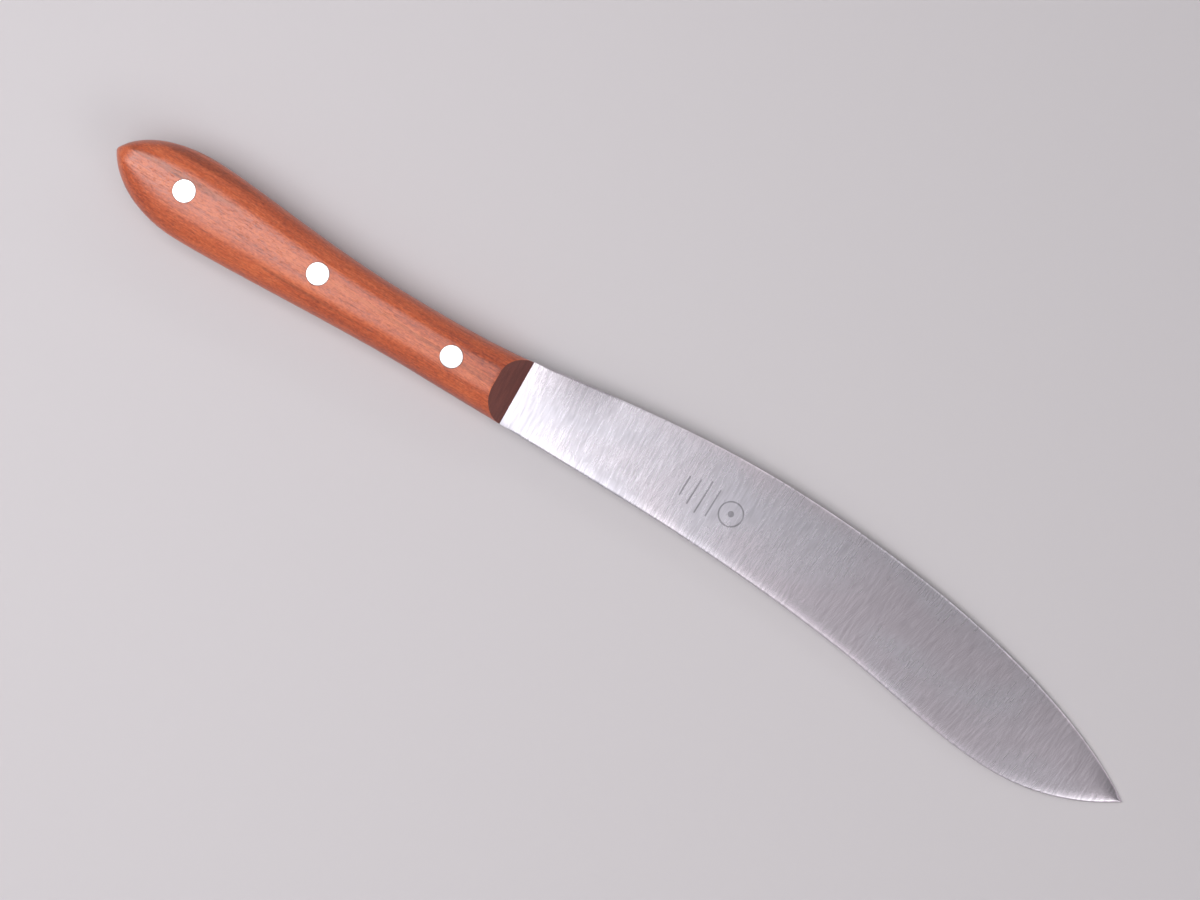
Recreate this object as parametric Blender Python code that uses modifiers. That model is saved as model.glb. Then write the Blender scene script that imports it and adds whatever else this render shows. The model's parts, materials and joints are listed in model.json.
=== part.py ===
"""A butcher's knife with a wide upswept blade, modelled for Blender 4.5.

The knife lies flat on its side. +X runs along the rivet line to the tip, +Y is the cutting edge's
side and +Z points up out of the marked side. The blade and its full tang are one steel plate. Two
wooden scales sit on the tang, held by three two-part compression rivets whose heads are ground
flush with the wood. Sizes are in millimetres, and MM turns them into Blender's metres.

The pieces are modelled about the joint: x = 0 where the scales end and the blade starts, y = 0 on
the rivet line, and z = 0 in the middle of the steel. An empty then carries them all to the origin,
which is in the middle of the knife's box, on the surface that it lies on.
"""

import math

import bmesh
import bpy
from mathutils import Euler, Vector
from mathutils.geometry import interpolate_bezier

MM = 0.001

# Steel
BLADE_LENGTH = 180.0
STOCK = 2.0
TIP_STOCK = 1.0
TAPER_START = 10.0
EDGE_SHOULDER = 0.4
EDGE_BEVEL = 0.35
EDGE_LAND = 0.08
GRIND_RUN_IN = 24.0
BEVEL_RUN_IN = 5.0
SPINE_ROUND = 2.6
SPINE_DROP = 0.35
THIN_SHARE = 0.6
BEVEL_SHARE = 1 / 6
ROUND_SHARE = 1 / 3
TIP_FLAT = 0.2
TIP_DROP = 6.2
HEEL_EDGE_SIDE = 9.65
HEEL_SPINE_SIDE = 8.1
WIDEST_EDGE_SIDE = 16.8
HOLLOW_SPINE_SIDE = 7.6
BELLY_SPINE_SIDE = 16.7
BELLY_SETBACK = 33.0

# Handle
HANDLE_LENGTH = 115.5
SCALE_THICKNESS = 6.2
BEDDING_GAP = 0.2
CROWN_EDGE_SHARE = 2 / 3
CROWN_SPINE_SHARE = 5 / 12
BUTT_NOSE = 1.0
BUTT_NOSE_RISE = 0.25
BUTT_HALF_ANGLE = 60.0
BUTT_ROUNDING = 5.0
BUTT_FLATTENING = 0.95
BUTT_SWELL_SETBACK = 23.2
SWELL_EDGE_SIDE = 10.5
SWELL_SPINE_SIDE = 11.2
WAIST_SETBACK = 40.0
WAIST_EDGE_SIDE = 7.5
GRIP_SETBACK = 24.0
FRONT_SLOPE = math.radians(47)
FRONT_SKEW = math.radians(2.2)
FRONT_CUT_SIZE = 32.0

# Rivets
FRONT_RIVET_SETBACK = 18.3
BUTT_RIVET_SETBACK = 20.0
HEAD_RADIUS = 2.9
HEAD_THICKNESS = 1.6
HEAD_TRIM = 1.0
TUBE_RADIUS = 2.0
STUD_RADIUS = 1.2
RIVET_CLEARANCE = 0.1
TUBE_END_GAP = 0.5
STUD_END_GAP = 1.0

# Mesh fineness
SPAN_POINTS = 60
TURNED_STEPS = 40
AXIS_MERGE = 0.01
SIDE_ARC_STEPS = 7
GRIND_STEPS = 6
SPINE_STEPS = 4
BLADE_STEP = 3.0
HANDLE_STEP = 5.0
END_STEPS = 9
BUTT_END = 20.0
TIP_END = 40.0
OVERRUN = 8.0

BEDDING_FACE = STOCK / 2 + BEDDING_GAP
HANDLE_FACE = BEDDING_FACE + SCALE_THICKNESS
RIVET_SEAT = HANDLE_FACE - HEAD_THICKNESS

# Each knot is x, y, heading in degrees, and how far the curve's handles reach before and after it,
# as shares of the span that they lie in. Places along the blade that nothing fits to are shares of
# its length.
EDGE_KNOTS = (
    (-HANDLE_LENGTH, BUTT_NOSE_RISE + BUTT_NOSE / 2, BUTT_HALF_ANGLE, 0.0, 0.32),
    (BUTT_SWELL_SETBACK - HANDLE_LENGTH, SWELL_EDGE_SIDE, 0.0, 0.46, 0.21),
    (-WAIST_SETBACK, WAIST_EDGE_SIDE, 0.0, 0.37, 0.36),
    (0.0, HEEL_EDGE_SIDE, 8.7, 0.28, 0.29),
    (BLADE_LENGTH * 0.39, WIDEST_EDGE_SIDE, 0.0, 0.37, 0.36),
    (BLADE_LENGTH, TIP_FLAT / 2 - TIP_DROP, -32.5, 0.27, 0.0),
)
SPINE_KNOTS = (
    (-HANDLE_LENGTH, BUTT_NOSE_RISE - BUTT_NOSE / 2, -BUTT_HALF_ANGLE, 0.0, 0.33),
    (BUTT_SWELL_SETBACK - HANDLE_LENGTH, -SWELL_SPINE_SIDE, 0.0, 0.45, 0.22),
    (-GRIP_SETBACK, -HEEL_SPINE_SIDE, 0.0, 0.29, 0.12),
    (BLADE_LENGTH * 0.22, -HOLLOW_SPINE_SIDE, 0.0, 0.31, 0.28),
    (BLADE_LENGTH * 0.61, -(HOLLOW_SPINE_SIDE + BELLY_SPINE_SIDE) / 2, -8.6, 0.31, 0.32),
    (BLADE_LENGTH - BELLY_SETBACK, -BELLY_SPINE_SIDE, 0.0, 0.31, 0.40),
    (BLADE_LENGTH, -TIP_FLAT / 2 - TIP_DROP, 34.7, 0.33, 0.0),
)


def between(low, high, share):
    return low + (high - low) * share


def ramp(x, start, end):
    """0 before start and 1 after end, with a smooth rise between them."""
    t = min(max((x - start) / (end - start), 0.0), 1.0)
    return t * t * (3 - 2 * t)


def curve_through(knots):
    """Points of the smooth curve through the knots, from the butt to the tip."""
    points = []
    for here, there in zip(knots[:-1], knots[1:]):
        span = there[0] - here[0]
        start = Vector((here[0], here[1]))
        end = Vector((there[0], there[1]))
        leaving = Vector((math.cos(math.radians(here[2])), math.sin(math.radians(here[2]))))
        coming = Vector((math.cos(math.radians(there[2])), math.sin(math.radians(there[2]))))
        first_handle = start + leaving * here[4] * span
        last_handle = end - coming * there[3] * span
        points += interpolate_bezier(start, first_handle, last_handle, end, SPAN_POINTS)
    return points


EDGE_LINE = curve_through(EDGE_KNOTS)
SPINE_LINE = curve_through(SPINE_KNOTS)
CENTRE_X = (BLADE_LENGTH - HANDLE_LENGTH) / 2
CENTRE_Y = (max(p.y for p in EDGE_LINE) + min(p.y for p in SPINE_LINE)) / 2


def side_at(line, x):
    """y of an outline at x."""
    for here, there in zip(line[:-1], line[1:]):
        if here.x <= x <= there.x and there.x > here.x:
            return between(here.y, there.y, (x - here.x) / (there.x - here.x))
    return line[-1].y


def even_stations(start, end, step):
    """Places from start up to but not including end, about a step apart."""
    count = max(1, round((end - start) / step))
    return [between(start, end, i / count) for i in range(count)]


def rounding_stations(length):
    """Distances from a rounded end, close together at the end itself."""
    return [length * (1 - math.cos(math.pi / 2 * i / END_STEPS)) for i in range(END_STEPS)]


def butt_stations():
    return [distance - HANDLE_LENGTH for distance in rounding_stations(BUTT_END)]


def tip_stations():
    return [BLADE_LENGTH - distance for distance in reversed(rounding_stations(TIP_END))]


def steel_section(x):
    """Ring of the steel at x: square-sided along the tang, then a convex grind down to the edge."""
    edge = side_at(EDGE_LINE, x)
    spine = side_at(SPINE_LINE, x)
    width = edge - spine
    forward = ramp(x, 0.0, BEVEL_RUN_IN)
    thick = between(STOCK, TIP_STOCK, max(0.0, x - TAPER_START) / (BLADE_LENGTH - TAPER_START)) / 2
    shoulder = min(EDGE_SHOULDER / 2, thick * THIN_SHARE)
    shoulder = between(thick, shoulder, ramp(x, 0.0, GRIND_RUN_IN))
    bevel = min(EDGE_BEVEL * forward, width * BEVEL_SHARE)
    roll = min(SPINE_ROUND, width * ROUND_SHARE)
    drop = min(SPINE_DROP, thick * THIN_SHARE) * forward
    face_start = edge - bevel
    face_end = spine + roll
    upper = [(edge, max(EDGE_LAND / 2, shoulder * (1 - forward)))]
    for i in range(GRIND_STEPS + 1):
        share = i / GRIND_STEPS
        rise = share * (2 - share)
        upper.append((between(face_start, face_end, share), between(shoulder, thick, rise)))
    for i in range(1, SPINE_STEPS + 1):
        turn = math.pi / 2 * i / SPINE_STEPS
        upper.append((face_end - roll * math.sin(turn), thick - drop * (1 - math.cos(turn))))
    lower = [(y, -z) for y, z in reversed(upper)]
    return [(x, y, z) for y, z in upper + lower]


def scale_section(x, side):
    """Ring of one scale at x: flat on the tang, a flat crown, and a quarter ellipse down each side."""
    edge = side_at(EDGE_LINE, x)
    spine = side_at(SPINE_LINE, x)
    near_butt = max(0.0, 1 - (x + HANDLE_LENGTH) / BUTT_ROUNDING)
    height = SCALE_THICKNESS * math.sqrt(1 - BUTT_FLATTENING * near_butt**2)
    crown_edge = between(spine, edge, CROWN_EDGE_SHARE)
    crown_spine = between(spine, edge, CROWN_SPINE_SHARE)
    ring = []
    for i in range(SIDE_ARC_STEPS + 1):
        turn = math.pi / 2 * i / SIDE_ARC_STEPS
        y = crown_edge + (edge - crown_edge) * math.cos(turn)
        ring.append((x, y, side * (BEDDING_FACE + height * math.sin(turn))))
    for i in range(SIDE_ARC_STEPS, -1, -1):
        turn = math.pi / 2 * i / SIDE_ARC_STEPS
        y = crown_spine - (crown_spine - spine) * math.cos(turn)
        ring.append((x, y, side * (BEDDING_FACE + height * math.sin(turn))))
    return ring


def handle_section(x):
    """Ring round both scales together."""
    return scale_section(x, 1) + scale_section(x, -1)[::-1]


def material(name, colour, roughness, metallic):
    made = bpy.data.materials.new(name)
    made.use_nodes = True
    surface = made.node_tree.nodes["Principled BSDF"]
    surface.inputs["Base Color"].default_value = (*colour, 1.0)
    surface.inputs["Roughness"].default_value = roughness
    surface.inputs["Metallic"].default_value = metallic
    return made


def add_object(name, mesh, collection, parent):
    made = bpy.data.objects.new(name, mesh)
    collection.objects.link(made)
    made.parent = parent
    return made


def smooth(mesh):
    mesh.shade_smooth()
    mesh.set_sharp_from_angle(angle=math.radians(30))


def loft(name, sections):
    """Closed mesh through rings that have the same number of points."""
    work = bmesh.new()
    rings = [[work.verts.new(Vector(point) * MM) for point in section] for section in sections]
    for ring, following in zip(rings[:-1], rings[1:]):
        for i in range(len(ring)):
            j = (i + 1) % len(ring)
            work.faces.new((ring[i], ring[j], following[j], following[i]))
    work.faces.new(rings[0])
    work.faces.new(rings[-1][::-1])
    bmesh.ops.recalc_face_normals(work, faces=work.faces)
    mesh = bpy.data.meshes.new(name)
    work.to_mesh(mesh)
    work.free()
    smooth(mesh)
    return mesh


def profile(name, points):
    """Open wire of (radius, height) points for a Screw modifier."""
    mesh = bpy.data.meshes.new(name)
    edges = [(i, i + 1) for i in range(len(points) - 1)]
    mesh.from_pydata([(radius * MM, 0.0, height * MM) for radius, height in points], edges, [])
    return mesh


def turn_profile(target):
    screw = target.modifiers.new("turned", "SCREW")
    screw.steps = TURNED_STEPS
    screw.render_steps = TURNED_STEPS
    screw.use_merge_vertices = True
    screw.merge_threshold = AXIS_MERGE * MM
    screw.use_smooth_shade = False


def boolean(target, operation, other):
    """Cut the target by an object or by every object of a collection, or keep what they share."""
    cut = target.modifiers.new(other.name, "BOOLEAN")
    cut.operation = operation
    cut.solver = "EXACT"
    if isinstance(other, bpy.types.Collection):
        cut.operand_type = "COLLECTION"
        cut.collection = other
    else:
        cut.object = other


def make_helper(target):
    target.hide_render = True
    target.display_type = "WIRE"


def rivet_places():
    front = -FRONT_RIVET_SETBACK
    butt = BUTT_RIVET_SETBACK - HANDLE_LENGTH
    return {"front": front, "middle": (front + butt) / 2, "butt": butt}


def add_bores(bores, parent):
    """One stepped cutter per rivet: a recess for each head and the hole for the tube."""
    recess = HEAD_RADIUS + RIVET_CLEARANCE
    hole = TUBE_RADIUS + RIVET_CLEARANCE
    outside = HANDLE_FACE + OVERRUN
    points = [(0.0, outside), (recess, outside), (recess, RIVET_SEAT), (hole, RIVET_SEAT)]
    points += [(radius, -height) for radius, height in reversed(points)]
    for name, x in rivet_places().items():
        cutter = add_object(name + "_bore", profile(name + "_bore", points), bores, parent)
        cutter.location.x = x * MM
        turn_profile(cutter)
        make_helper(cutter)


def add_front_cut(side, cutters, parent):
    """Block whose back face slopes up from the joint over one scale, a little askew."""
    bpy.ops.mesh.primitive_cube_add(size=FRONT_CUT_SIZE * MM)
    block = bpy.context.object
    block.name = "front_cut_above" if side > 0 else "front_cut_below"
    for collection in block.users_collection:
        collection.objects.unlink(block)
    cutters.objects.link(block)
    block.parent = parent
    turn = Euler((0.0, -side * (math.pi / 2 - FRONT_SLOPE), FRONT_SKEW))
    foot = Vector((0.0, 0.0, side * BEDDING_FACE))
    block.location = (foot + turn.to_matrix() @ Vector((FRONT_CUT_SIZE / 2, 0.0, 0.0))) * MM
    block.rotation_euler = turn
    make_helper(block)
    return block


def add_blade(steel, bores, knife, parent):
    stations = butt_stations()
    stations += even_stations(BUTT_END - HANDLE_LENGTH, 0.0, HANDLE_STEP)
    stations += even_stations(0.0, BLADE_LENGTH - TIP_END, BLADE_STEP)
    stations += [BLADE_LENGTH - TIP_END] + tip_stations()
    plate = loft("blade_with_tang", [steel_section(x) for x in stations])
    blade = add_object("blade_with_tang", plate, knife, parent)
    blade.data.materials.append(steel)
    boolean(blade, "DIFFERENCE", bores)


def handle_stations():
    start = BUTT_END - HANDLE_LENGTH
    return butt_stations() + even_stations(start, 0.0, HANDLE_STEP) + [0.0, OVERRUN]


def add_scale(name, side, wood, bores, cutters, knife, parent):
    sections = [scale_section(x, side) for x in handle_stations()]
    scale = add_object(name, loft(name, sections), knife, parent)
    scale.data.materials.append(wood)
    boolean(scale, "DIFFERENCE", add_front_cut(side, cutters, parent))
    boolean(scale, "DIFFERENCE", bores)


def tube_half():
    """The marked side's half: a head, and a tube that is open at its lower end."""
    top = HANDLE_FACE + HEAD_TRIM
    under_head = RIVET_SEAT + RIVET_CLEARANCE
    tube_end = TUBE_END_GAP - RIVET_SEAT
    bore = STUD_RADIUS + RIVET_CLEARANCE
    bore_top = RIVET_SEAT - TUBE_END_GAP
    head = [(0.0, top), (HEAD_RADIUS, top), (HEAD_RADIUS, under_head), (TUBE_RADIUS, under_head)]
    return head + [(TUBE_RADIUS, tube_end), (bore, tube_end), (bore, bore_top), (0.0, bore_top)]


def stud_half():
    """The other side's half: a head, and a stud that goes up the tube."""
    bottom = -HANDLE_FACE - HEAD_TRIM
    over_head = -RIVET_SEAT - RIVET_CLEARANCE
    stud_top = RIVET_SEAT - STUD_END_GAP
    stud = [(0.0, stud_top), (STUD_RADIUS, stud_top), (STUD_RADIUS, over_head)]
    return stud + [(HEAD_RADIUS, over_head), (HEAD_RADIUS, bottom), (0.0, bottom)]


def add_rivet_half(name, x, points, aluminium, form, knife, parent):
    half = add_object(name, profile(name, points), knife, parent)
    half.location.x = x * MM
    half.data.materials.append(aluminium)
    turn_profile(half)
    boolean(half, "INTERSECT", form)


def main():
    for leftover in list(bpy.data.objects):
        bpy.data.objects.remove(leftover)
    knife = bpy.data.collections.new("boning_knife")
    cutters = bpy.data.collections.new("cutters")
    bores = bpy.data.collections.new("rivet_bores")
    bpy.context.scene.collection.children.link(knife)
    bpy.context.scene.collection.children.link(cutters)
    cutters.children.link(bores)

    joint = bpy.data.objects.new("joint", None)
    joint.location = Vector((-CENTRE_X, -CENTRE_Y, HANDLE_FACE)) * MM
    knife.objects.link(joint)

    steel = material("satin_steel", (0.62, 0.62, 0.64), 0.35, 1.0)
    wood = material("red_brown_wood", (0.33, 0.10, 0.05), 0.45, 0.0)
    aluminium = material("aluminium", (0.88, 0.88, 0.88), 0.30, 1.0)

    add_bores(bores, joint)
    whole_handle = loft("handle_form", [handle_section(x) for x in handle_stations()])
    form = add_object("handle_form", whole_handle, cutters, joint)
    make_helper(form)

    add_blade(steel, bores, knife, joint)
    add_scale("upper_scale", 1, wood, bores, cutters, knife, joint)
    add_scale("lower_scale", -1, wood, bores, cutters, knife, joint)
    for place, x in rivet_places().items():
        add_rivet_half(place + "_rivet_tube", x, tube_half(), aluminium, form, knife, joint)
        add_rivet_half(place + "_rivet_stud", x, stud_half(), aluminium, form, knife, joint)


main()
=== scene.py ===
"""Looks of the butcher's knife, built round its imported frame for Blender 4.5.

The frame's axes are the knife's: +X to the tip, +Y to the cutting edge, +Z out of the marked side.
Every CAD node is stood for by a finer piece of the same size: a convex-ground blade with its tang,
two wooden scales with eased edges, and three rivets, each a tube and a stud, ground flush.

Only what shows is finer. Inside the handle the steel has no rivet holes, the tubes have no bores, and
a scale's holes are as wide as the heads all the way, so the shanks cross the steel and each other.
"""

import json
import math

import bmesh
import bpy
import numpy as np
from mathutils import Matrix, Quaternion, Vector
from mathutils.geometry import interpolate_bezier

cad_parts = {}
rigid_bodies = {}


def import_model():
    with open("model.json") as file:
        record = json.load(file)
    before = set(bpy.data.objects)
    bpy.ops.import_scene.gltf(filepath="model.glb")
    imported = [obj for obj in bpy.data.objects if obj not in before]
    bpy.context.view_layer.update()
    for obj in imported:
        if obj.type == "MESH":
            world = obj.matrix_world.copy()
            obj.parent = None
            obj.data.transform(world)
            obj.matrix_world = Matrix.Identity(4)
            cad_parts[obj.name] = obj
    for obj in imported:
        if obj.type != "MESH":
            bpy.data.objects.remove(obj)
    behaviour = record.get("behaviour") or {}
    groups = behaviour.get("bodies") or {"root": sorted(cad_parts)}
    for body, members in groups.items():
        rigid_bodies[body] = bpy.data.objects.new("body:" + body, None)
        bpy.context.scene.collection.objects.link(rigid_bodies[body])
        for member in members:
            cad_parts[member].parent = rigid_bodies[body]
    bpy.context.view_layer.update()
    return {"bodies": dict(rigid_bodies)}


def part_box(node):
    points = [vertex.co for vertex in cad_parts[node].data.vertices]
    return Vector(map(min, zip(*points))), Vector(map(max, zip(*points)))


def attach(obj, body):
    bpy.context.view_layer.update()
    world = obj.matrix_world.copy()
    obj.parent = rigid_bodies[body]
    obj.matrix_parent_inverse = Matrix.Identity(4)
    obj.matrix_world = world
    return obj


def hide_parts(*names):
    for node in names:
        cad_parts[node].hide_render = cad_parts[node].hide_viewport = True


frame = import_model()

MM = 0.001
BODY = next(iter(frame["bodies"]))

# Places and thicknesses, read from the frame. The joint is where the scales end and the blade
# starts, and the rivet line runs through it.
STEEL_LOW, STEEL_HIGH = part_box("blade_with_tang")
UPPER_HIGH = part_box("upper_scale")[1]
TUBE_LOW, TUBE_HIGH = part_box("front_rivet_tube")
STUD_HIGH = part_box("front_rivet_stud")[1]
BLADE_LENGTH = 180.0 * MM
JOINT_X = STEEL_HIGH.x - BLADE_LENGTH
RIVET_Y = (TUBE_LOW.y + TUBE_HIGH.y) / 2
MIDDLE_Z = (STEEL_HIGH.z + STEEL_LOW.z) / 2
JOINT = Vector((JOINT_X, RIVET_Y, MIDDLE_Z))
STOCK = STEEL_HIGH.z - STEEL_LOW.z
HANDLE_TOP = UPPER_HIGH.z - MIDDLE_Z
HANDLE_LENGTH = JOINT_X - STEEL_LOW.x

# The outline's knots, as the solid has them: x from the joint, y, heading in degrees, and how far
# the curve's handles reach before and after the knot, as shares of the span that they lie in.
BUTT_SWELL_SETBACK = 23.2 * MM
EDGE_KNOTS = (
    (-HANDLE_LENGTH, 0.75 * MM, 60.0, 0.0, 0.32),
    (BUTT_SWELL_SETBACK - HANDLE_LENGTH, 10.5 * MM, 0.0, 0.46, 0.21),
    (-40.0 * MM, 7.5 * MM, 0.0, 0.37, 0.36),
    (0.0, 9.65 * MM, 8.7, 0.28, 0.29),
    (BLADE_LENGTH * 0.39, 16.8 * MM, 0.0, 0.37, 0.36),
    (BLADE_LENGTH, -6.1 * MM, -32.5, 0.27, 0.0),
)
SPINE_KNOTS = (
    (-HANDLE_LENGTH, -0.25 * MM, -60.0, 0.0, 0.33),
    (BUTT_SWELL_SETBACK - HANDLE_LENGTH, -11.2 * MM, 0.0, 0.45, 0.22),
    (-24.0 * MM, -8.1 * MM, 0.0, 0.29, 0.12),
    (BLADE_LENGTH * 0.22, -7.6 * MM, 0.0, 0.31, 0.28),
    (BLADE_LENGTH * 0.61, -12.15 * MM, -8.6, 0.31, 0.32),
    (BLADE_LENGTH - 33.0 * MM, -16.7 * MM, 0.0, 0.31, 0.40),
    (BLADE_LENGTH, -6.3 * MM, 34.7, 0.33, 0.0),
)
SPAN_POINTS = 240

# Steel
TIP_STOCK = 1.0 * MM
TAPER_START = 10.0 * MM
EDGE_SHOULDER = 0.4 * MM
EDGE_BEVEL = 0.35 * MM
EDGE_LAND = 0.05 * MM
GRIND_RUN_IN = 24.0 * MM
BEVEL_RUN_IN = 5.0 * MM
SPINE_ROUND = 2.6 * MM
SPINE_DROP = 0.35 * MM
THIN_SHARE = 0.6  # where the steel is thin, the shoulder and the drop take no more of it than this
BEVEL_SHARE = 1 / 6  # and where it is narrow, the bevel and the rounding take no more than these
ROUND_SHARE = 1 / 3
GRIND_STEPS = 22
SPINE_STEPS = 10
BLADE_STEP = 0.8 * MM
TANG_STEP = 2.0 * MM
TIP_END = 30.0 * MM
TIP_STEPS = 60
MIDDLE_LINE_POINTS = 400
END_NORMAL = 0.7  # a face whose normal leans more than this along X is one of the steel's ends
STEEL_SHARP = 12.0

# Scales
SEAM = 0.02 * MM
SCALE_STEP = 0.8 * MM
SIDE_ARC_STEPS = 22
CROWN_STEPS = 6
LEAN_ROUNDS = 3
FRONT_EASE = 0.22 * MM
EASE_SEGMENTS = 3
EASE_ANGLE = 32.0
WOOD_SHARP = 28.0
SHEAR_RUN = 16.0 * MM
BUTT_ROUNDING = 5.0 * MM
BUTT_FLATTENING = 0.95
FRONT_RUN = 1 / math.tan(math.radians(47))
FRONT_SKEW = math.tan(math.radians(2.2))
CROWN_EDGE_SHARE = 2 / 3
CROWN_SPINE_SHARE = 5 / 12
BUTT_END = 16.0 * MM
END_STEPS = 26

# Rivets
HEAD_RADIUS = (TUBE_HIGH.x - TUBE_LOW.x) / 2
HEAD_THICKNESS = 1.5 * MM
HEAD_EASE = 0.18 * MM
HEAD_PROUD = 0.03 * MM
SHANK_RADIUS = {"tube": 2.0 * MM, "stud": 1.2 * MM}
SHANK_END = {"tube": TUBE_LOW.z - MIDDLE_Z, "stud": STUD_HIGH.z - MIDDLE_Z}
HOLE_GAP = 0.025 * MM
CUTTER_LENGTH = 20.0 * MM
TURNED_STEPS = 96
HEAD_RINGS = 12
EASE_STEPS = 4
RIVET_SHARP = 35.0

# Etched mark: a ring with a dot in it, then bars of (x, length)
MARK_Y = 3.3 * MM
MARK_LINE = 0.4 * MM
MARK_RING_X = 60.6 * MM
MARK_RING_RADIUS = 3.1 * MM
MARK_DOT_RADIUS = 0.8 * MM
MARK_BARS = (
    (55.4 * MM, 7.6 * MM),
    (52.6 * MM, 9.0 * MM),
    (49.9 * MM, 7.2 * MM),
    (47.2 * MM, 5.4 * MM),
)
MARK_SHADE = 0.42
MARK_ROUGHNESS = 0.5
MARK_DEPTH = 0.3

# Noise: features a metre along each axis, detail, roughness, distortion
RIPPLE = ((1450.0, 185.0, 1.0), 1.5, 0.45, 0.12)
HAIR = ((5200.0, 260.0, 1.0), 2.0, 0.6, 0.0)
BAND = ((140.0, 24.0, 1.0), 2.0, 0.5, 0.5)
CLOUD = ((24.0, 46.0, 46.0), 2.0, 0.5, 0.6)
STREAK = ((7.0, 120.0, 120.0), 3.0, 0.55, 0.5)
GRAIN_LINE = ((30.0, 650.0, 650.0), 3.0, 0.6, 0.3)
FIBRE = ((330.0, 3600.0, 3600.0), 2.0, 0.6, 0.2)
FLECK = ((1200.0, 2200.0, 2200.0), 2.0, 0.55, 0.0)
FIGURE = ((130.0, 60.0, 60.0), 2.0, 0.5, 0.4)
PORE = ((520.0, 6800.0, 6800.0), 1.0, 0.5, 0.0)
VEIN = ((11.0, 260.0, 260.0), 2.0, 0.5, 0.8)
END_RING = ((1.0, 160.0, 1400.0), 2.0, 0.5, 0.3)
END_PORE = ((1.0, 5200.0, 5200.0), 1.0, 0.5, 0.0)
BELT_LINE = ((300.0, 9000.0, 9000.0), 2.0, 0.6, 0.0)
NOISE_LOW, NOISE_HIGH = 0.35, 0.65  # most of a noise's values lie between these

# Colours that a noise runs through, as (value, colour)
# The steel's grey carries a painted mauve reflection of its surroundings, and the cloud noise varies
# it at random
STEEL_TINTS_WITH_PAINTED_REFLECTION = (
    (0.35, (0.556, 0.534, 0.592)),
    (0.5, (0.570, 0.537, 0.591)),
    (0.65, (0.586, 0.535, 0.588)),
)
WOOD_TINTS = (
    (0.39, (0.20, 0.024, 0.007)),
    (0.455, (0.36, 0.056, 0.014)),
    (0.51, (0.48, 0.086, 0.023)),
    (0.575, (0.60, 0.135, 0.042)),
)
# The end grain's colours are darker than the wood's own end grain: painted shade on the sloping front
# face
END_GRAIN_AND_SHADE_TINTS = ((0.38, (0.105, 0.020, 0.012)), (0.62, (0.185, 0.042, 0.028)))
ALUMINIUM_TINTS = ((0.3, (0.62, 0.62, 0.64)), (0.7, (0.72, 0.72, 0.73)))

# How deep each material's bump is
STEEL_BUMP = 0.012 * MM
WOOD_BUMP = 0.026 * MM
ALUMINIUM_BUMP = 0.003 * MM

# What each material's noise runs through, from its low values to its high ones
STEEL_SHADE = (0.75, 1.25)
STEEL_ROUGHNESS = (0.30, 0.24)
STEEL_ANISOTROPY = 0.3
WOOD_ROUGHNESS = (0.29, 0.40)
WOOD_SPECULAR = 0.75
ALUMINIUM_LINES = (0.3, 0.7)
ALUMINIUM_ROUGHNESS = (0.36, 0.30)

# Pores and veins: the noise that they fade out over, and how dark they are
PORE_FADE = (0.30, 0.38)
PORE_SHADE = 0.62
VEIN_FADE = (0.30, 0.40)
VEIN_SHADE = 0.72
END_GRAIN_AND_SHADE_FACING = (0.45, 0.62)  # end grain, darkened by painted shade, comes in where the normal leans this far along X

# The view: straight down, turned so that the tip points to the lower right
VIEW_TURN = math.radians(31.79)
VIEW_CENTRE = (JOINT_X + 24.78 * MM, RIVET_Y - 0.25 * MM)
VIEW_WIDTH = 296.4 * MM
VIEW_HEIGHT = 1.2
SENSOR_WIDTH = 36.0

# The floor and the sky. Far from the knife the floor takes the horizon's colour, and so does the sky
# lower than a given height, as the camera and reflections see them.
FLOOR_SIZE = 24.0
FLOOR_DROP = 0.05 * MM
FLOOR_COLOUR = (0.57, 0.54, 0.56)
FLOOR_ROUGHNESS = 0.7
FLOOR_SPECULAR = 0.2
FLOOR_FADE = (0.3, 0.9)
HORIZON_COLOUR = (0.57, 0.545, 0.56)
HORIZON_HEIGHT = (0.3, 0.75)
SKY_COLOUR = (1.0, 0.98, 1.0)
SKY_STRENGTH = 0.25
TIP_REST_SHARE = 0.2  # the tip's lowest point is this share of its thickness below its middle

# Softboxes: centre, point it looks at, size, radiance, and roll about its own axis in degrees
SOFTBOXES = {
    "key": ((-0.645, -0.205, 0.75), (-0.645, -0.205, 0.0), (1.28, 0.64), 2.85, 15.0),
    "butt_fill": ((-0.30, 0.0, 0.74), (-0.30, 0.0, 0.0), (0.24, 0.3), 4.2, 0.0),
    "tip_fill": ((0.62, -0.26, 0.75), (0.62, -0.26, 0.0), (0.6, 0.6), 2.2, 0.0),
    "spine_fill": ((-0.1, -1.1, 1.1), (0.0, 0.0, 0.0), (1.2, 1.2), 0.25, 0.0),
    "edge_fill": ((0.05, 1.0, 0.75), (0.05, 1.0, 0.0), (1.7, 0.3), 1.1, 0.0),
}


def between(low, high, share):
    return low + (high - low) * share


def ramp(x, start, end):
    """0 before start and 1 after end, with a smooth rise between them."""
    t = np.clip((x - start) / (end - start), 0.0, 1.0)
    return t * t * (3 - 2 * t)


def curve_through(knots):
    """(x, y) arrays of the smooth curve through the knots."""
    points = []
    for here, there in zip(knots[:-1], knots[1:]):
        span = there[0] - here[0]
        start = Vector((here[0], here[1]))
        end = Vector((there[0], there[1]))
        leaving = Vector((math.cos(math.radians(here[2])), math.sin(math.radians(here[2]))))
        coming = Vector((math.cos(math.radians(there[2])), math.sin(math.radians(there[2]))))
        first_handle = start + leaving * here[4] * span
        last_handle = end - coming * there[3] * span
        points += interpolate_bezier(start, first_handle, last_handle, end, SPAN_POINTS)
    return np.array(points).T


EDGE_LINE = curve_through(EDGE_KNOTS)
SPINE_LINE = curve_through(SPINE_KNOTS)


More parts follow.
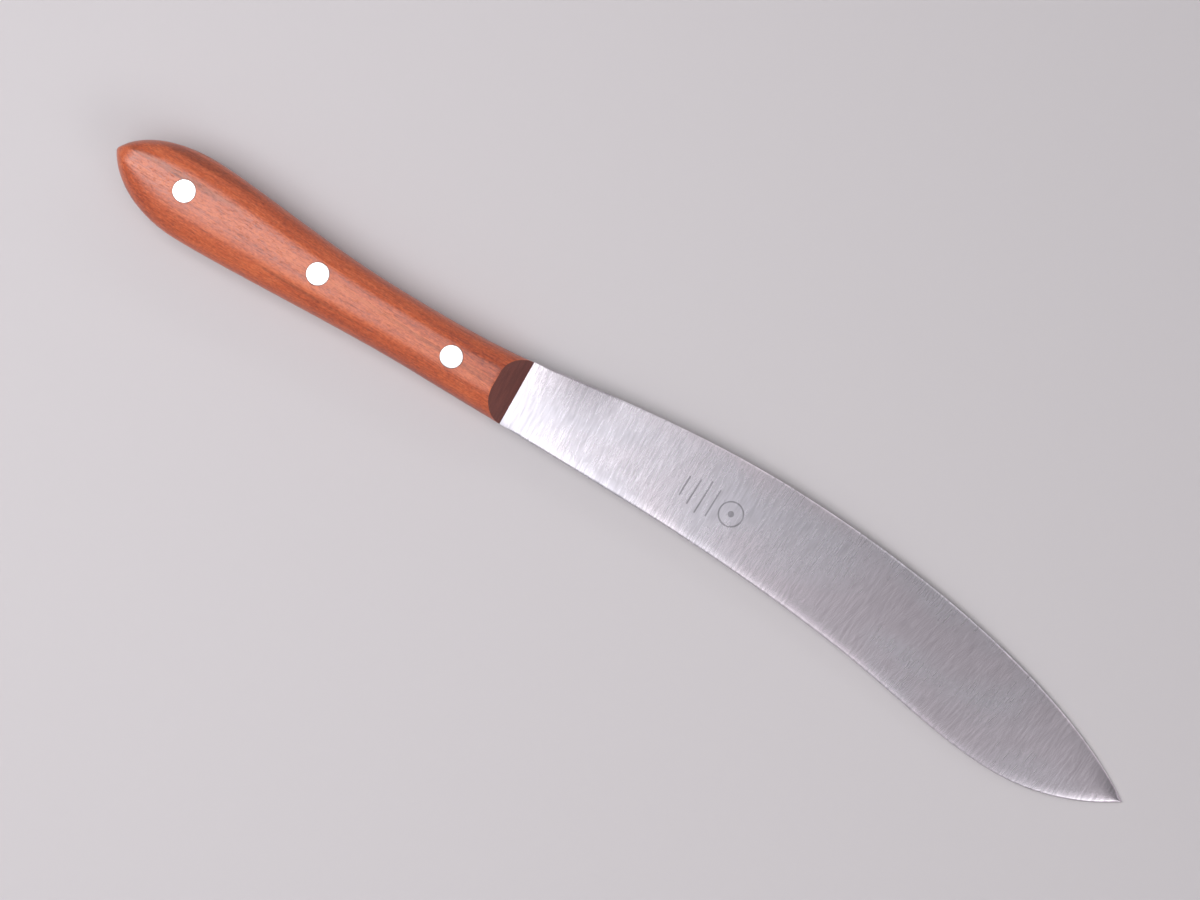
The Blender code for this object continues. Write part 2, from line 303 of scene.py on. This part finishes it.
def edge_at(x):
    return min(np.interp(x, *EDGE_LINE), STEEL_HIGH.y - RIVET_Y)


def spine_at(x):
    return max(np.interp(x, *SPINE_LINE), STEEL_LOW.y - RIVET_Y)


def steps(start, end, step):
    """Places from start up to but not including end, about a step apart."""
    count = max(1, round((end - start) / step))
    return [between(start, end, i / count) for i in range(count)]


def rounding_steps(length, count):
    """Distances from a rounded end, close together at the end itself."""
    return [length * (1 - math.cos(math.pi / 2 * i / count)) for i in range(count)]


def material(name, metallic):
    """A new node material. Returns (material, its nodes, its links, the Principled shader)."""
    made = bpy.data.materials.new(name)
    made.use_nodes = True
    nodes = made.node_tree.nodes
    shader = nodes["Principled BSDF"]
    shader.inputs["Metallic"].default_value = metallic
    return made, nodes, made.node_tree.links, shader


def scaled_place(nodes, links, scale, uv):
    """Object coordinates, or a UV map's, in metres and multiplied along each axis."""
    if uv:
        place = nodes.new("ShaderNodeUVMap")
        place.uv_map = uv
        start = place.outputs["UV"]
    else:
        start = nodes.new("ShaderNodeTexCoord").outputs["Object"]
    mapping = nodes.new("ShaderNodeMapping")
    mapping.inputs["Scale"].default_value = scale
    links.new(start, mapping.inputs["Vector"])
    return mapping.outputs["Vector"]


def noise(nodes, links, scale, detail, roughness, distortion, uv=None):
    """Noise with this many features a metre along each axis."""
    texture = nodes.new("ShaderNodeTexNoise")
    texture.inputs["Scale"].default_value = 1.0
    texture.inputs["Detail"].default_value = detail
    texture.inputs["Roughness"].default_value = roughness
    texture.inputs["Distortion"].default_value = distortion
    links.new(scaled_place(nodes, links, scale, uv), texture.inputs["Vector"])
    return texture.outputs["Fac"]


def calc(nodes, links, operation, *values):
    node = nodes.new("ShaderNodeMath")
    node.operation = operation
    for slot, value in zip(node.inputs, values):
        if isinstance(value, (int, float)):
            slot.default_value = value
        else:
            links.new(value, slot)
    return node.outputs["Value"]


def remap(nodes, links, value, low, high, to_low, to_high):
    node = nodes.new("ShaderNodeMapRange")
    node.inputs["From Min"].default_value = low
    node.inputs["From Max"].default_value = high
    node.inputs["To Min"].default_value = to_low
    node.inputs["To Max"].default_value = to_high
    links.new(value, node.inputs["Value"])
    return node.outputs["Result"]


def ramp_colour(nodes, links, value, stops):
    """Colour that runs through (position, (r, g, b)) stops."""
    node = nodes.new("ShaderNodeValToRGB")
    elements = node.color_ramp.elements
    while len(elements) < len(stops):
        elements.new(0.5)
    for element, (position, colour) in zip(elements, stops):
        element.position = position
        element.color = (*colour, 1.0)
    links.new(value, node.inputs["Fac"])
    return node.outputs["Color"]


def mix_colour(nodes, links, blend, factor, first, second):
    node = nodes.new("ShaderNodeMix")
    node.data_type = "RGBA"
    node.blend_type = blend
    colours = [slot for slot in node.inputs if slot.type == "RGBA"]
    for slot, value in zip((node.inputs[0], *colours), (factor, first, second)):
        if isinstance(value, (int, float)):
            slot.default_value = value
        elif isinstance(value, tuple):
            slot.default_value = (*value, 1.0)
        else:
            links.new(value, slot)
    return next(slot for slot in node.outputs if slot.type == "RGBA")


def times_grey(nodes, links, colour, grey):
    """The colour with all its channels multiplied by one value."""
    shade_colour = nodes.new("ShaderNodeCombineColor")
    for slot in shade_colour.inputs:
        links.new(grey, slot)
    return mix_colour(nodes, links, "MULTIPLY", 1.0, colour, shade_colour.outputs["Color"])


def weighted(nodes, links, *pairs):
    """Sum of (value, weight) pairs."""
    total = None
    for value, weight in pairs:
        part = calc(nodes, links, "MULTIPLY", value, weight)
        total = part if total is None else calc(nodes, links, "ADD", total, part)
    return total


def bump(nodes, links, shader, height, distance):
    node = nodes.new("ShaderNodeBump")
    node.inputs["Strength"].default_value = 1.0
    node.inputs["Distance"].default_value = distance
    links.new(height, node.inputs["Height"])
    links.new(node.outputs["Normal"], shader.inputs["Normal"])


def mark_mask(nodes, links):
    """1 on the etched maker's mark, a plain ring and dot over plain bars, and 0 elsewhere."""
    place = nodes.new("ShaderNodeTexCoord")
    axes = nodes.new("ShaderNodeSeparateXYZ")
    links.new(place.outputs["Object"], axes.inputs["Vector"])
    x, y, z = (axes.outputs[axis] for axis in "XYZ")
    centre_x, centre_y = MARK_RING_X + JOINT_X, MARK_Y + RIVET_Y
    across = calc(nodes, links, "POWER", calc(nodes, links, "SUBTRACT", x, centre_x), 2.0)
    up = calc(nodes, links, "POWER", calc(nodes, links, "SUBTRACT", y, centre_y), 2.0)
    radius = calc(nodes, links, "SQRT", calc(nodes, links, "ADD", across, up))
    mask = calc(nodes, links, "COMPARE", radius, MARK_RING_RADIUS, MARK_LINE / 2)
    dot = calc(nodes, links, "LESS_THAN", radius, MARK_DOT_RADIUS)
    mask = calc(nodes, links, "MAXIMUM", mask, dot)
    for bar_x, bar_length in MARK_BARS:
        wide = calc(nodes, links, "COMPARE", x, bar_x + JOINT_X, MARK_LINE / 2)
        long = calc(nodes, links, "COMPARE", y, centre_y, bar_length / 2)
        mask = calc(nodes, links, "MAXIMUM", mask, calc(nodes, links, "MULTIPLY", wide, long))
    return calc(nodes, links, "MULTIPLY", mask, calc(nodes, links, "GREATER_THAN", z, MIDDLE_Z))


def satin_steel():
    """Stainless steel ground across the blade, so that its lines run from spine to edge."""
    made, nodes, links, shader = material("satin_steel", 1.0)
    ripple = noise(nodes, links, *RIPPLE, uv="ground")
    hair = noise(nodes, links, *HAIR, uv="ground")
    band = noise(nodes, links, *BAND, uv="ground")
    cloud = noise(nodes, links, *CLOUD)
    mark = mark_mask(nodes, links)
    lines = weighted(nodes, links, (ripple, 0.65), (hair, 0.35))
    shade_of = weighted(nodes, links, (lines, 0.66), (band, 0.06), (cloud, 0.28))
    grey = remap(nodes, links, shade_of, NOISE_LOW, NOISE_HIGH, *STEEL_SHADE)
    marked = remap(nodes, links, mark, 0.0, 1.0, 1.0, MARK_SHADE)
    grey = calc(nodes, links, "MULTIPLY", grey, marked)
    # Base colour: the steel's grey with a painted mauve reflection, varied by the cloud noise
    steel_tint_and_reflection = ramp_colour(nodes, links, cloud, STEEL_TINTS_WITH_PAINTED_REFLECTION)
    links.new(times_grey(nodes, links, steel_tint_and_reflection, grey), shader.inputs["Base Color"])
    sheen = weighted(nodes, links, (lines, 0.5), (cloud, 0.5))
    rough = remap(nodes, links, sheen, NOISE_LOW, NOISE_HIGH, *STEEL_ROUGHNESS)
    rough_mark = calc(nodes, links, "MULTIPLY", mark, MARK_ROUGHNESS)
    links.new(calc(nodes, links, "MAXIMUM", rough, rough_mark), shader.inputs["Roughness"])
    shader.inputs["Anisotropic"].default_value = STEEL_ANISOTROPY
    tangent = nodes.new("ShaderNodeTangent")
    tangent.direction_type = "UV_MAP"
    tangent.uv_map = "ground"
    links.new(tangent.outputs["Tangent"], shader.inputs["Tangent"])
    depth = calc(nodes, links, "MULTIPLY", mark, MARK_DEPTH)
    bump(nodes, links, shader, calc(nodes, links, "SUBTRACT", lines, depth), STEEL_BUMP)
    return made


def oiled_wood():
    """Red-brown fruit wood with its grain along the handle; the front face shows end grain, painted
    darker still as shade.
    """
    made, nodes, links, shader = material("oiled_wood", 0.0)
    streak = noise(nodes, links, *STREAK)
    line = noise(nodes, links, *GRAIN_LINE)
    fibre = noise(nodes, links, *FIBRE)
    fleck = noise(nodes, links, *FLECK)
    figure = noise(nodes, links, *FIGURE)
    grain = weighted(
        nodes, links, (streak, 0.32), (line, 0.18), (fibre, 0.22), (fleck, 0.24), (figure, 0.04)
    )
    body = ramp_colour(nodes, links, grain, WOOD_TINTS)
    pores = noise(nodes, links, *PORE)
    pit = remap(nodes, links, pores, *PORE_FADE, 0.0, 1.0)
    vein = noise(nodes, links, *VEIN)
    dark_vein = remap(nodes, links, vein, *VEIN_FADE, VEIN_SHADE, 1.0)
    dark_pit = remap(nodes, links, pit, 0.0, 1.0, PORE_SHADE, 1.0)
    sides = times_grey(nodes, links, body, calc(nodes, links, "MULTIPLY", dark_vein, dark_pit))
    rings = noise(nodes, links, *END_RING)
    dots = noise(nodes, links, *END_PORE)
    end_grain = weighted(nodes, links, (rings, 0.5), (dots, 0.5))
    # Colour of the front face: the end grain's own tone, darkened further by painted shade
    end = ramp_colour(nodes, links, end_grain, END_GRAIN_AND_SHADE_TINTS)
    facing = nodes.new("ShaderNodeNewGeometry")
    parts = nodes.new("ShaderNodeSeparateXYZ")
    links.new(facing.outputs["True Normal"], parts.inputs["Vector"])
    front = remap(nodes, links, parts.outputs["X"], *END_GRAIN_AND_SHADE_FACING, 0.0, 1.0)
    links.new(mix_colour(nodes, links, "MIX", front, sides, end), shader.inputs["Base Color"])
    sheen = weighted(nodes, links, (fibre, 0.5), (fleck, 0.5))
    rough = remap(nodes, links, sheen, NOISE_LOW, NOISE_HIGH, *WOOD_ROUGHNESS)
    links.new(rough, shader.inputs["Roughness"])
    shader.inputs["Specular IOR Level"].default_value = WOOD_SPECULAR
    height = weighted(nodes, links, (fibre, 0.5), (fleck, 0.35), (pit, 0.6))
    bump(nodes, links, shader, height, WOOD_BUMP)
    return made


def sanded_aluminium():
    """Bright aluminium with the fine lines of the belt that ground it flush."""
    made, nodes, links, shader = material("sanded_aluminium", 1.0)
    lines = noise(nodes, links, *BELT_LINE)
    links.new(ramp_colour(nodes, links, lines, ALUMINIUM_TINTS), shader.inputs["Base Color"])
    rough = remap(nodes, links, lines, *ALUMINIUM_LINES, *ALUMINIUM_ROUGHNESS)
    links.new(rough, shader.inputs["Roughness"])
    bump(nodes, links, shader, lines, ALUMINIUM_BUMP)
    return made


def seen_directly(nodes, links):
    """1 for what the camera or a reflection looks at, and 0 for light on its way to the knife."""
    path = nodes.new("ShaderNodeLightPath")
    camera, glossy = path.outputs["Is Camera Ray"], path.outputs["Is Glossy Ray"]
    return calc(nodes, links, "MAXIMUM", camera, glossy)


def pale_floor():
    """A matte floor round the knife, which far from it keeps one pale tone up to the horizon."""
    made, nodes, links, shader = material("pale_floor", 0.0)
    shader.inputs["Roughness"].default_value = FLOOR_ROUGHNESS
    shader.inputs["Base Color"].default_value = (*FLOOR_COLOUR, 1.0)
    shader.inputs["Specular IOR Level"].default_value = FLOOR_SPECULAR
    place = nodes.new("ShaderNodeTexCoord")
    length = nodes.new("ShaderNodeVectorMath")
    length.operation = "LENGTH"
    links.new(place.outputs["Object"], length.inputs[0])
    far = remap(nodes, links, length.outputs["Value"], *FLOOR_FADE, 0.0, 1.0)
    glow = nodes.new("ShaderNodeEmission")
    glow.inputs["Color"].default_value = (*HORIZON_COLOUR, 1.0)
    mix = nodes.new("ShaderNodeMixShader")
    links.new(calc(nodes, links, "MULTIPLY", far, seen_directly(nodes, links)), mix.inputs["Fac"])
    links.new(shader.outputs["BSDF"], mix.inputs[1])
    links.new(glow.outputs["Emission"], mix.inputs[2])
    links.new(mix.outputs["Shader"], nodes["Material Output"].inputs["Surface"])
    return made


def grid_object(name, rings, made_of):
    """Closed smooth piece through rings of points in the joint's axes, with flat ends."""
    rings = np.asarray(rings, float)
    count, size = rings.shape[:2]
    points = rings.reshape(-1, 3) + np.array(JOINT)
    faces = []
    for k in range(count - 1):
        for i in range(size):
            j = (i + 1) % size
            faces.append((k * size + i, k * size + j, (k + 1) * size + j, (k + 1) * size + i))
    faces.append(tuple(range(size)))
    faces.append(tuple((count - 1) * size + i for i in range(size)))
    mesh = bpy.data.meshes.new(name)
    mesh.from_pydata(points.tolist(), [], faces)
    tidy = bmesh.new()
    tidy.from_mesh(mesh)
    bmesh.ops.recalc_face_normals(tidy, faces=tidy.faces)
    tidy.to_mesh(mesh)
    tidy.free()
    mesh.materials.append(made_of)
    made = bpy.data.objects.new(name, mesh)
    bpy.context.scene.collection.objects.link(made)
    return made


def shade(piece, angle):
    piece.data.shade_smooth()
    piece.data.set_sharp_from_angle(angle=math.radians(angle))


def apply_modifiers(piece):
    """Turn what the modifiers make into the piece's own mesh."""
    graph = bpy.context.evaluated_depsgraph_get()
    mesh = bpy.data.meshes.new_from_object(piece.evaluated_get(graph))
    piece.modifiers.clear()
    piece.data = mesh


def add_uv_ground(mesh):
    """A UV map in metres. V runs along the grinding lines, square to the blade's middle line."""
    xs = np.linspace(-HANDLE_LENGTH, BLADE_LENGTH, MIDDLE_LINE_POINTS)
    middle = np.array([(edge_at(x) + spine_at(x)) / 2 for x in xs])
    slope = np.gradient(middle, xs)
    layer = mesh.uv_layers.new(name="ground")
    for face in mesh.polygons:
        for loop in face.loop_indices:
            x, y, z = mesh.vertices[mesh.loops[loop].vertex_index].co - JOINT
            off = y - np.interp(x, xs, middle)
            if abs(face.normal.x) > END_NORMAL:
                layer.data[loop].uv = (z, y)
            else:
                layer.data[loop].uv = (x + off * np.interp(x, xs, slope), off + z)


def steel_ring(x):
    """Ring of the steel at x: square-sided along the tang, then a convex grind down to the edge."""
    edge = edge_at(x)
    spine = spine_at(x)
    width = edge - spine
    forward = ramp(x, 0.0, BEVEL_RUN_IN)
    taper = max(0.0, x - TAPER_START) / (BLADE_LENGTH - TAPER_START)
    thick = between(STOCK, TIP_STOCK, taper) / 2
    thin = thick * THIN_SHARE
    shoulder = between(thick, min(EDGE_SHOULDER / 2, thin), ramp(x, 0.0, GRIND_RUN_IN))
    bevel = min(EDGE_BEVEL * forward, width * BEVEL_SHARE)
    roll = min(SPINE_ROUND, width * ROUND_SHARE)
    drop = min(SPINE_DROP, thin) * forward
    face_start = edge - bevel
    face_end = spine + roll
    upper = [(edge, max(EDGE_LAND / 2, shoulder * (1 - forward)))]
    for i in range(GRIND_STEPS + 1):
        share = i / GRIND_STEPS
        rise = share * (2 - share)
        upper.append((between(face_start, face_end, share), between(shoulder, thick, rise)))
    for i in range(1, SPINE_STEPS + 1):
        turn = math.pi / 2 * i / SPINE_STEPS
        upper.append((face_end - roll * math.sin(turn), thick - drop * (1 - math.cos(turn))))
    lower = [(y, -z) for y, z in reversed(upper)]
    return [(x, y, z) for y, z in upper + lower]


def make_blade(steel):
    places = [d - HANDLE_LENGTH for d in rounding_steps(BUTT_END, END_STEPS)]
    places += steps(BUTT_END - HANDLE_LENGTH, 0.0, TANG_STEP)
    places += steps(0.0, BLADE_LENGTH - TIP_END, BLADE_STEP)
    places += [BLADE_LENGTH - TIP_END]
    places += [BLADE_LENGTH - d for d in reversed(rounding_steps(TIP_END, TIP_STEPS))]
    blade = grid_object("blade", [steel_ring(x) for x in places], steel)
    add_uv_ground(blade.data)
    shade(blade, STEEL_SHARP)
    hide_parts("blade_with_tang")
    return blade


def crown_height(x, turn):
    """Height of the scale above the tang at a share of the way up its side, as a quarter turn."""
    near_butt = np.maximum(0.0, 1 - (x + HANDLE_LENGTH) / BUTT_ROUNDING)
    height = (HANDLE_TOP - STOCK / 2 - SEAM) * np.sqrt(1 - BUTT_FLATTENING * near_butt**2)
    return height * np.sin(turn)


def scale_ring(place, side):
    """Ring of one scale. Towards the front the ring leans back, until it lies in the sloping face."""
    lean = ramp(place, -SHEAR_RUN, 0.0)
    turns = [math.pi / 2 * i / SIDE_ARC_STEPS for i in range(SIDE_ARC_STEPS + 1)]
    crown_steps = [i / CROWN_STEPS for i in range(1, CROWN_STEPS)]
    around = [(turn, 1.0) for turn in turns]
    around += [(math.pi / 2, 1 - share) for share in crown_steps]
    around += [(turn, 0.0) for turn in reversed(turns)]
    ring = []
    for turn, edge_side in around:
        height = crown_height(place, turn)
        x = place - lean * height * FRONT_RUN
        for _ in range(LEAN_ROUNDS):
            edge = edge_at(x)
            spine = spine_at(x)
            crown_edge = between(spine, edge, CROWN_EDGE_SHARE)
            crown_spine = between(spine, edge, CROWN_SPINE_SHARE)
            if turn < math.pi / 2 and edge_side == 1.0:
                y = crown_edge + (edge - crown_edge) * math.cos(turn)
            elif turn < math.pi / 2:
                y = crown_spine - (crown_spine - spine) * math.cos(turn)
            else:
                y = between(crown_spine, crown_edge, edge_side)
            x = place - lean * (height * FRONT_RUN + y * FRONT_SKEW)
        ring.append((x, y, height))
    bed = STOCK / 2 + SEAM
    return [(x, y, side * (bed + height)) for x, y, height in ring]


def make_scale(node, side, wood):
    """One scale, on the marked side where side is 1 and on the other where it is -1."""
    places = [d - HANDLE_LENGTH for d in rounding_steps(BUTT_END, END_STEPS)]
    places += steps(BUTT_END - HANDLE_LENGTH, 0.0, SCALE_STEP) + [0.0]
    scale = grid_object(node + "_wood", [scale_ring(x, side) for x in places], wood)
    ease = scale.modifiers.new("eased_edges", "BEVEL")
    ease.width = FRONT_EASE
    ease.segments = EASE_SEGMENTS
    ease.limit_method = "ANGLE"
    ease.angle_limit = math.radians(EASE_ANGLE)
    apply_modifiers(scale)
    for x, y in rivet_places().values():
        bpy.ops.mesh.primitive_cylinder_add(
            vertices=TURNED_STEPS,
            radius=HEAD_RADIUS + HOLE_GAP,
            depth=CUTTER_LENGTH,
            location=(x, y, MIDDLE_Z),
        )
        cutter = bpy.context.object
        hole = scale.modifiers.new("hole", "BOOLEAN")
        hole.object = cutter
        hole.solver = "EXACT"
        apply_modifiers(scale)
        bpy.data.objects.remove(cutter)
    shade(scale, WOOD_SHARP)
    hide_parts(node)
    return scale


def rivet_places():
    """(x, y) of each rivet's axis in the frame, by the rivet's name."""
    places = {}
    for place in ("front", "middle", "butt"):
        low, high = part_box(place + "_rivet_tube")
        places[place] = ((low.x + high.x) / 2, (low.y + high.y) / 2)
    return places


def surface_at(x, y):
    """Height of the scale's face above the steel's middle at a point, in the joint's axes."""
    edge = edge_at(x)
    spine = spine_at(x)
    crown_edge = between(spine, edge, CROWN_EDGE_SHARE)
    crown_spine = between(spine, edge, CROWN_SPINE_SHARE)
    past_edge = (y - crown_edge) / (edge - crown_edge)
    past_spine = (crown_spine - y) / (crown_spine - spine)
    out = max(0.0, past_edge, past_spine)
    return STOCK / 2 + SEAM + (HANDLE_TOP - STOCK / 2 - SEAM) * math.sqrt(1 - out * out)


def make_rivet_half(place, kind, aluminium):
    """A turned head and a solid shank, with a face that follows the wood.

    The tube comes from the marked side, and the stud from the other.
    """
    side = 1 if kind == "tube" else -1
    centre_x, centre_y = rivet_places()[place]
    x0 = centre_x - JOINT_X
    y0 = centre_y - RIVET_Y
    angles = [2 * math.pi * i / TURNED_STEPS for i in range(TURNED_STEPS)]
    rings = []
    for k in range(1, HEAD_RINGS + 1):
        radius = (HEAD_RADIUS - HEAD_EASE) * k / HEAD_RINGS
        rings.append([(radius, HEAD_PROUD)] * TURNED_STEPS)
    for k in range(1, EASE_STEPS + 1):
        turn = math.pi / 2 * k / EASE_STEPS
        radius = HEAD_RADIUS - HEAD_EASE * (1 - math.sin(turn))
        rings.append([(radius, HEAD_PROUD - HEAD_EASE * (1 - math.cos(turn)))] * TURNED_STEPS)
    points = []
    for ring in rings:
        for angle, (radius, proud) in zip(angles, ring):
            x = x0 + radius * math.cos(angle)
            y = y0 + radius * math.sin(angle)
            level = min(surface_at(x, y) + proud, HANDLE_TOP)
            points.append((x, y, side * level))
    under = side * (HANDLE_TOP - HEAD_THICKNESS)
    shank = SHANK_RADIUS[kind]
    for radius, height in ((HEAD_RADIUS, under), (shank, under), (shank, SHANK_END[kind])):
        points += [(x0 + radius * math.cos(a), y0 + radius * math.sin(a), height) for a in angles]
    rings = np.array(points).reshape(-1, TURNED_STEPS, 3)
    half = grid_object(f"{place}_rivet_{kind}_turned", rings, aluminium)
    shade(half, RIVET_SHARP)
    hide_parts(f"{place}_rivet_{kind}")
    return half


def make_floor():
    """A wide floor that the knife rests on at its handle's front end and at the tip of its blade."""
    front_x = JOINT_X - HANDLE_TOP + STOCK / 2
    tip_low = MIDDLE_Z - TIP_STOCK * TIP_REST_SHARE
    slope = math.atan2(tip_low, STEEL_HIGH.x - front_x)
    bpy.ops.mesh.primitive_plane_add(
        size=FLOOR_SIZE, location=(front_x, 0.0, -FLOOR_DROP), rotation=(0.0, -slope, 0.0)
    )
    floor = bpy.context.object
    floor.name = "floor"
    floor.data.materials.append(pale_floor())


def add_softbox(name, centre, aim, size, radiance, roll):
    """A rectangular lamp that looks at a point and shines evenly, rolled about its own axis."""
    lamp = bpy.data.lights.new(name, "AREA")
    lamp.shape = "RECTANGLE"
    lamp.size, lamp.size_y = size
    lamp.energy = radiance * math.pi * size[0] * size[1]
    made = bpy.data.objects.new(name, lamp)
    bpy.context.scene.collection.objects.link(made)
    made.location = centre
    looking = (Vector(aim) - Vector(centre)).to_track_quat("-Z", "Y")
    made.rotation_mode = "QUATERNION"
    made.rotation_quaternion = looking @ Quaternion((0.0, 0.0, 1.0), math.radians(roll))


def make_studio():
    """Softboxes over the knife, and a sky that fills in softly and is paler near the horizon."""
    world = bpy.data.worlds.new("studio")
    bpy.context.scene.world = world
    world.use_nodes = True
    nodes = world.node_tree.nodes
    links = world.node_tree.links
    nodes["Background"].inputs["Color"].default_value = (*SKY_COLOUR, 1.0)
    nodes["Background"].inputs["Strength"].default_value = SKY_STRENGTH
    horizon = nodes.new("ShaderNodeBackground")
    horizon.inputs["Color"].default_value = (*HORIZON_COLOUR, 1.0)
    direction = nodes.new("ShaderNodeTexCoord")
    axes = nodes.new("ShaderNodeSeparateXYZ")
    links.new(direction.outputs["Generated"], axes.inputs["Vector"])
    low = remap(nodes, links, axes.outputs["Z"], *HORIZON_HEIGHT, 1.0, 0.0)
    path = nodes.new("ShaderNodeLightPath")
    reflected = calc(nodes, links, "MULTIPLY", path.outputs["Is Glossy Ray"], low)
    mix = nodes.new("ShaderNodeMixShader")
    horizon_share = calc(nodes, links, "MAXIMUM", path.outputs["Is Camera Ray"], reflected)
    links.new(horizon_share, mix.inputs["Fac"])
    links.new(nodes["Background"].outputs["Background"], mix.inputs[1])
    links.new(horizon.outputs["Background"], mix.inputs[2])
    links.new(mix.outputs["Shader"], nodes["World Output"].inputs["Surface"])
    for name, settings in SOFTBOXES.items():
        add_softbox(name, *settings)


def make_camera():
    camera = bpy.data.cameras.new("camera")
    camera.sensor_width = SENSOR_WIDTH
    camera.lens = SENSOR_WIDTH * VIEW_HEIGHT / VIEW_WIDTH
    made = bpy.data.objects.new("camera", camera)
    bpy.context.scene.collection.objects.link(made)
    made.location = (*VIEW_CENTRE, MIDDLE_Z + VIEW_HEIGHT)
    made.rotation_euler = (0.0, 0.0, VIEW_TURN)
    bpy.context.scene.camera = made


def main():
    steel = satin_steel()
    wood = oiled_wood()
    aluminium = sanded_aluminium()
    pieces = [make_blade(steel)]
    pieces.append(make_scale("upper_scale", 1, wood))
    pieces.append(make_scale("lower_scale", -1, wood))
    for place in rivet_places():
        pieces.append(make_rivet_half(place, "tube", aluminium))
        pieces.append(make_rivet_half(place, "stud", aluminium))
    for piece in pieces:
        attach(piece, BODY)
    make_floor()
    make_studio()
    make_camera()
    bpy.context.scene.view_settings.view_transform = "Standard"


main()
